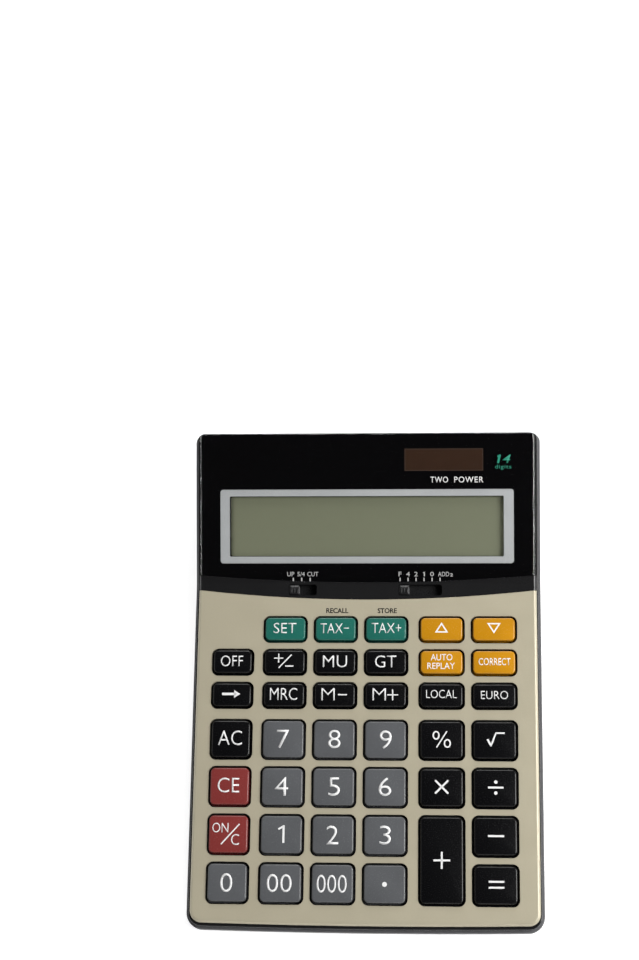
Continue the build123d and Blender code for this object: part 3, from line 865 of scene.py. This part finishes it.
def model_cap(width, tall, proud, deep, plungers):
    """Hollow cap about the middle of its well: round edges, flange below, plungers inside."""
    cap = block((0, 0, (proud - deep) / 2), (width, tall, proud + deep))
    edit(cap)
    pick_edges(lambda a, b: abs(a.z - b.z) > deep)
    round_edges(cap_corner, 6)
    flange_top = flange_thickness - deep
    pick_all()
    bpy.ops.mesh.bisect(plane_co=(0, 0, flange_top), plane_no=(0, 0, 1))
    pick_faces(lambda middle, normal: abs(normal.z) < 0.1 and middle.z < flange_top)
    bpy.ops.mesh.extrude_region_shrink_fatten(
        TRANSFORM_OT_shrink_fatten={"value": flange_reach, "use_even_offset": True}
    )
    pick_faces(
        lambda middle, normal: normal.z < -0.9
        and abs(middle.x) < width / 4
        and abs(middle.y) < tall / 4
    )
    bpy.ops.mesh.inset(thickness=cap_wall)
    hollow = deep + proud - cap_roof
    extrude((0, 0, hollow))
    pick_edges(lambda a, b: min(a.z, b.z) > proud - touch)
    round_edges(cap_edge, 4)
    leave_edit()
    pieces = [cap]
    length = hollow + plunger_root
    for y in plungers:
        bpy.ops.object.select_all(action="DESELECT")
        bpy.ops.mesh.primitive_cylinder_add(
            vertices=24, radius=plunger_radius, depth=length, location=(0, y, length / 2 - deep)
        )
        stem = bpy.context.object
        edit(stem)
        # The stem's mesh is still about its own middle, so its lower rim lies below 0
        pick_edges(lambda a, b: max(a.z, b.z) < 0)
        round_edges(plunger_edge, 2)
        leave_edit()
        pieces.append(stem)
    join(pieces, "cap")
    smooth_shading()
    return cap


def silicone_sheet():
    """Flat sheet of the mat, with its holes for the posts."""
    sheet = underside("key_mat", keypad, "mat_sheet")
    pick_all()
    extrude(outward(keypad) * mat_sheet)
    face_outward()
    leave_edit()
    smooth_shading()
    stand_in(sheet, "key_mat", "case")


def model_dome():
    """Hollow dome that stands on the origin, with a round upper edge."""
    bpy.ops.object.select_all(action="DESELECT")
    bpy.ops.mesh.primitive_cone_add(
        vertices=32,
        radius1=dome_base,
        radius2=dome_top,
        depth=dome_height,
        location=(0, 0, dome_height / 2),
    )
    dome = bpy.context.object
    settle()
    edit(dome)
    pick_faces(lambda middle, normal: normal.z < -0.9)
    bpy.ops.mesh.inset(thickness=dome_wall)
    extrude((0, 0, dome_hollow))
    bpy.ops.transform.resize(value=(dome_roof_share, dome_roof_share, 1))
    pick_edges(lambda a, b: min(a.z, b.z) > dome_height - touch)
    round_edges(dome_edge, 3)
    leave_edit()
    smooth_shading()
    return dome


def domes_under(name, model, places):
    """Domes under one key, joined into one piece on the case."""
    domes = []
    for x, y in places:
        dome = copy_of(model)
        dome.matrix_world = keypad @ Matrix.Translation((x, y, mat_top))
        domes.append(dome)
    dome = join(domes, "dome_" + name)
    stand_in(dome, "key_mat", "case")
    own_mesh(dome)


def keys():
    """Cap, domes and legend of every key; caps of one size are copies of one model."""
    dome_model = model_dome()
    cap_models = {}
    for node in nodes:
        if not node.startswith("key_") or node in ("key_plate", "key_mat"):
            continue
        name = node.removeprefix("key_")
        low, high = extent(node, keypad, 0)
        middle = (low + high) / 2
        width, tall = high.x - low.x - 2 * cap_inset, high.y - low.y - 2 * cap_inset
        deep = -extent(node, keypad)[0].z
        rows = (-1, 1) if tall > 2 * cap_corner + width else (0,)
        plungers = [row * tall * plunger_share for row in rows]
        size = (round(width / mm, 2), round(tall / mm, 2))
        if size not in cap_models:
            cap_models[size] = model_cap(width, tall, high.z, deep, plungers)
        cap = copy_of(cap_models[size])
        cap.name = "cap_" + name
        put(cap, keypad @ Matrix.Translation((middle.x, middle.y, 0)))
        stand_in(cap, node, node)
        domes_under(name, dome_model, [(middle.x, middle.y + y) for y in plungers])
        cap_top = keypad @ Matrix.Translation((middle.x, middle.y, high.z))
        legend("legend_" + name, key_marks(name), cap_top, node, white_ink)
    for model in [dome_model, *cap_models.values()]:
        bpy.data.objects.remove(model)


silicone_sheet()
keys()

# Slide knobs


def switch_knob(name):
    """Slide knob: a cover plate under its slot, and a chamfered grip with three ridges."""
    node = name + "_knob"
    plate_low, plate_high = extent(node, keypad)
    low, high = extent(node, keypad, -knob_plate)
    middle = (low + high) / 2
    width, tall = high.x - low.x, high.y - low.y
    plate = block(
        (0, 0, plate_low.z + knob_plate / 2),
        (plate_high.x - plate_low.x, plate_high.y - plate_low.y, knob_plate),
    )
    edit(plate)
    pick_edges(lambda a, b: abs(a.z - b.z) > knob_plate / 2)
    round_edges(knob_corner, 3)
    leave_edit()
    shoulder = high.z - knob_ridge
    deep = shoulder - plate_low.z - knob_plate / 2
    grip = block((0, 0, shoulder - deep / 2), (width, tall, deep))
    edit(grip)
    pick_edges(lambda a, b: abs(a.z - b.z) > deep / 2)
    round_edges(knob_corner, 4)
    pick_edges(lambda a, b: min(a.z, b.z) > shoulder - touch)
    round_edges(knob_chamfer, 2)
    ridges = [ridge * knob_ridge_pitch for ridge in (-1, 0, 1)]
    for ridge in ridges:
        for side in (-1, 1):
            pick_faces(lambda centre, normal: normal.z > 0.99)
            edge = ridge + side * knob_ridge / 2
            bpy.ops.mesh.bisect(plane_co=(edge, 0, 0), plane_no=(1, 0, 0))
    pick_faces(
        lambda centre, normal: normal.z > 0.99
        and min(abs(centre.x - ridge) for ridge in ridges) < knob_ridge / 2
    )
    extrude((0, 0, knob_ridge))
    bpy.ops.transform.resize(value=(1, knob_ridge_taper, 1))
    pick_edges(lambda a, b: min(a.z, b.z) > high.z - touch)
    round_edges(knob_ridge / 4, 2)
    leave_edit()
    knob = join([grip, plate], name + "_slider")
    smooth_shading()
    put(knob, keypad @ Matrix.Translation((middle.x, middle.y, 0)))
    stand_in(knob, node, name + "_switch")


for switch in ("rounding", "decimal"):
    switch_knob(switch)

# Case screws


def model_screw(length):
    """Screw that stands on its head at the origin: round edge, cross recess, shank and point."""
    bpy.ops.object.select_all(action="DESELECT")
    bpy.ops.mesh.primitive_cylinder_add(
        vertices=32,
        radius=screw_head,
        depth=screw_head_height,
        location=(0, 0, screw_head_height / 2),
    )
    screw = bpy.context.object
    settle()
    edit(screw)
    pick_faces(lambda middle, normal: normal.z > 0.9)
    bpy.ops.mesh.inset(thickness=screw_head - screw_shank)
    extrude((0, 0, length - screw_head_height - screw_point))
    extrude((0, 0, screw_point))
    bpy.ops.transform.resize(value=(screw_point_taper, screw_point_taper, 1))
    for reach in (-screw_cross, -screw_cross_slot, screw_cross_slot, screw_cross):
        for across in ((1, 0, 0), (0, 1, 0)):
            pick_faces(lambda middle, normal: normal.z < -0.9)
            bpy.ops.mesh.bisect(plane_co=[reach * axis for axis in across], plane_no=across)
    pick_faces(
        lambda middle, normal: normal.z < -0.9
        and min(abs(middle.x), abs(middle.y)) < screw_cross_slot
        and max(abs(middle.x), abs(middle.y)) < screw_cross
    )
    extrude((0, 0, screw_cross_depth))
    bpy.ops.transform.resize(value=(screw_cross_taper, screw_cross_taper, 1))
    pick_edges(
        lambda a, b: max(a.z, b.z) < touch
        and min(a.xy.length, b.xy.length) > screw_head * 0.99
    )
    round_edges(screw_head_round, 3)
    leave_edit()
    smooth_shading()
    return screw


def case_screw_set():
    """Screws of the case as one piece, each on the axis of its own solid."""
    groups = []
    for corner in nodes["case_screws"].data.vertices:
        for group in groups:
            if (group[0].xy - corner.co.xy).length < 3 * screw_head:
                group.append(corner.co)
                break
        else:
            groups.append([corner.co])
    low, high = box_of(groups[0])
    model = model_screw(high.z - low.z)
    screws = []
    for group in groups:
        low, high = box_of(group)
        screw = copy_of(model)
        screw.location = ((low.x + high.x) / 2, (low.y + high.y) / 2, low.z)
        screws.append(screw)
    bpy.data.objects.remove(model)
    screw_set = join(screws, "case_screw_set")
    stand_in(screw_set, "case_screws", "case")


case_screw_set()

# Printing on the plate and the window


def print_on(name, face, x, y, pieces, material):
    """Lay flat printing on a panel at a place in its face's frame."""
    legend(name, pieces, face @ Matrix.Translation((x, y, 0)), "case", material)


def caption_print(node, words, wide, shift):
    """Word on the plate above a key."""
    low, high = extent(node, keypad, 0)
    marks = [letters(words, wide, caption_height, shift, weight=caption_weight)]
    middle = (low.x + high.x) / 2
    print_on(words.lower() + "_print", keypad, middle, high.y + caption_rise, marks, dark_ink)


def scale_print(name, pitch, offset, labels):
    """Ticks and labels above a switch, about the middle of its slot."""
    low, high = extent(name + "_knob", display)
    slot_middle = ((low.x + high.x) / 2 + travel[name + "_slide"][1] / 2) / mm
    marks = []
    for step, (word, wide, shift) in enumerate(labels):
        x = slot_middle + offset + pitch * (step - (len(labels) - 1) / 2)
        marks.append(stroke((x, -tick_half), (x, tick_half), tick_line))
        if word == "1":
            marks += figure_one(1.75, x + 0.15, label_rise, 0.4)
        else:
            marks.append(letters(word, wide, label_height, x + shift, label_rise, 0.0))
        if word == "ADD":
            marks.append(letters("2", 1.15, 1.25, x + shift + 3.2, 1.85, 0.02))
    window_base = extent("display_window", display)[0].y
    print_on(name + "_scale", display, 0, window_base + scale_rise, marks, pale_ink)


for caption_node, caption in captions.items():
    caption_print(caption_node, *caption)
for scale_name, scale in scales.items():
    scale_print(scale_name, *scale)
print_on(
    "power_print",
    display,
    solar_high.x - power_left,
    solar_low.y - power_drop,
    [
        letters("TWO", 7.2, 2.4, -6.9, 0, 0.002, spacing=1.12),
        letters("POWER", 11.8, 2.4, 5.1, 0, 0.002, spacing=1.15),
    ],
    white_ink,
)
print_on(
    "digits_print",
    display,
    solar_high.x + digits_right,
    (solar_low.y + solar_high.y) / 2,
    [
        *figure_one(3.4, -1.55, 0.2, 0.8, 0.24),
        letters("4", 3.3, 3.4, 1.5, 0.2, 0.004, 0.24),
        letters("digits", 6.5, 2.1, 0.15, -3.2, -0.006, spacing=1.12),
    ],
    green_ink,
)

# Display: silver frame, clear window and the printing under it


def display_frame():
    """Silver frame around the display, with small round corners."""
    low, high = extent("lcd_bezel", display)
    high.x -= frame_right_trim
    middle = (low + high) / 2
    width, tall = high.x - low.x, high.y - low.y
    bpy.ops.object.select_all(action="DESELECT")
    bpy.ops.mesh.primitive_plane_add(size=1)
    surround = bpy.context.object
    surround.name = "display_frame"
    surround.scale = (width, tall, 1)
    settle()
    edit(surround)
    pick_all()
    bpy.ops.mesh.inset(thickness=frame_end_bar)
    narrow = (width - frame_left_bar - frame_right_bar) / (width - 2 * frame_end_bar)
    bpy.ops.transform.resize(value=(narrow, 1, 1))
    bpy.ops.transform.translate(value=((frame_left_bar - frame_right_bar) / 2, 0, 0))
    bpy.ops.mesh.delete(type="FACE")
    pick_all()
    thick = high.z - low.z
    extrude((0, 0, thick))
    face_outward()
    outer = width / 2 - frame_left_bar / 2
    pick_edges(lambda a, b: abs(a.z - b.z) > thick / 2 and abs(a.x) > outer)
    round_edges(frame_corner, 6)
    pick_edges(lambda a, b: abs(a.z - b.z) > thick / 2 and abs(a.x) < outer)
    round_edges(frame_opening_corner, 4)
    leave_edit()
    smooth_shading()
    put(surround, display @ Matrix.Translation((middle.x, middle.y, low.z)))
    stand_in(surround, "lcd_bezel", "case")


def window_pane():
    """Clear window with a smooth round edge along its sides and back."""
    low, high = extent("display_window", display)
    back = display.inverted()
    pane = underside("display_window", display, "window_pane")
    pick_all()
    extrude(outward(display) * (high.z - low.z))
    face_outward()

    def on_outer_edge(a, b):
        ends = [back @ a, back @ b]
        middle = (ends[0] + ends[1]) / 2
        along_top = all(abs(end.z - high.z) < touch for end in ends)
        at_side = abs(middle.x) > high.x - window_round
        return along_top and (at_side or middle.y > high.y - window_round)

    pick_edges(on_outer_edge)
    bpy.ops.mesh.bevel(
        offset=window_round, segments=8, affect="EDGES", harden_normals=True, clamp_overlap=False
    )
    leave_edit()
    stand_in(pane, "display_window", "case")


def cut_opening(node):
    """Open the window's printing, in edit mode, over a node."""
    low, high = extent(node, display)
    turn, back = display.to_3x3(), display.inverted()
    for corner in (low, high):
        for across in ((1, 0, 0), (0, 1, 0)):
            pick_all()
            bpy.ops.mesh.bisect(plane_co=display @ corner, plane_no=turn @ Vector(across))

    def over_node(middle, normal):
        place = back @ middle
        return low.x < place.x < high.x and low.y < place.y < high.y

    pick_faces(over_node)
    bpy.ops.mesh.delete(type="FACE")


def window_print():
    """Black printing under the window, open over the display frame and the solar cell."""
    sheet = underside("display_window", display, "window_print")
    cut_opening("lcd_bezel")
    cut_opening("solar_cell")
    pick_all()
    bpy.ops.transform.translate(value=outward(display) * -2 * ink)
    leave_edit()
    thicken(sheet)
    paint(sheet, black_ink)
    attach(sheet, "case")


display_frame()
window_pane()
window_print()

# Studio: pale floor, soft lights, walls and camera


def pale_floor():
    """Large plain floor."""
    bpy.ops.object.select_all(action="DESELECT")
    bpy.ops.mesh.primitive_plane_add(size=floor_size)
    floor = bpy.context.object
    floor.name = "floor"
    material, tree, surface, place = finish("pale_floor", 0.8, 0.0, 0.2)
    two_tone(tree, surface, noise(tree, place, 8, 3), (0.86, 0.86, 0.86), (0.88, 0.88, 0.88))
    surface.inputs["Emission Color"].default_value = (1, 1, 1, 1)
    surface.inputs["Emission Strength"].default_value = floor_glow
    paint(floor, material)


def soft_light(name, place, size, power):
    """Square soft box that faces the object."""
    light = bpy.data.lights.new(name, "AREA")
    light.shape = "SQUARE"
    light.size = size
    light.energy = power
    lamp = bpy.data.objects.new(name, light)
    lamp.location = place
    lamp.rotation_euler = (light_aim - Vector(place)).to_track_quat("-Z", "Y").to_euler()
    bpy.context.scene.collection.objects.link(lamp)


def studio_walls():
    """Pale walls around the table that fade to a dark ceiling."""
    world = bpy.data.worlds.new("studio_walls")
    world.use_nodes = True
    tree = world.node_tree
    place = tree.nodes.new("ShaderNodeTexCoord").outputs["Generated"]
    rise = split_axes(tree, place)["Z"]
    glow = spread(tree, rise, (0.0, ceiling_rise), (wall_glow, ceiling_glow), smooth=True)
    background = tree.nodes["Background"]
    background.inputs["Color"].default_value = (1, 1, 1, 1)
    tree.links.new(glow, background.inputs["Strength"])
    bpy.context.scene.world = world


def photograph_view():
    """Camera at the photograph's viewing angle."""
    camera = bpy.data.cameras.new("camera")
    camera.sensor_width = camera_film
    camera.lens = camera_lens
    camera.clip_start = camera_near
    viewer = bpy.data.objects.new("camera", camera)
    viewer.location = camera_place
    viewer.rotation_euler = camera_turn
    bpy.context.scene.collection.objects.link(viewer)
    bpy.context.scene.camera = viewer
    bpy.context.scene.view_settings.view_transform = "Standard"


pale_floor()
for light_name, light_setting in lights.items():
    soft_light(light_name, *light_setting)
studio_walls()
photograph_view()
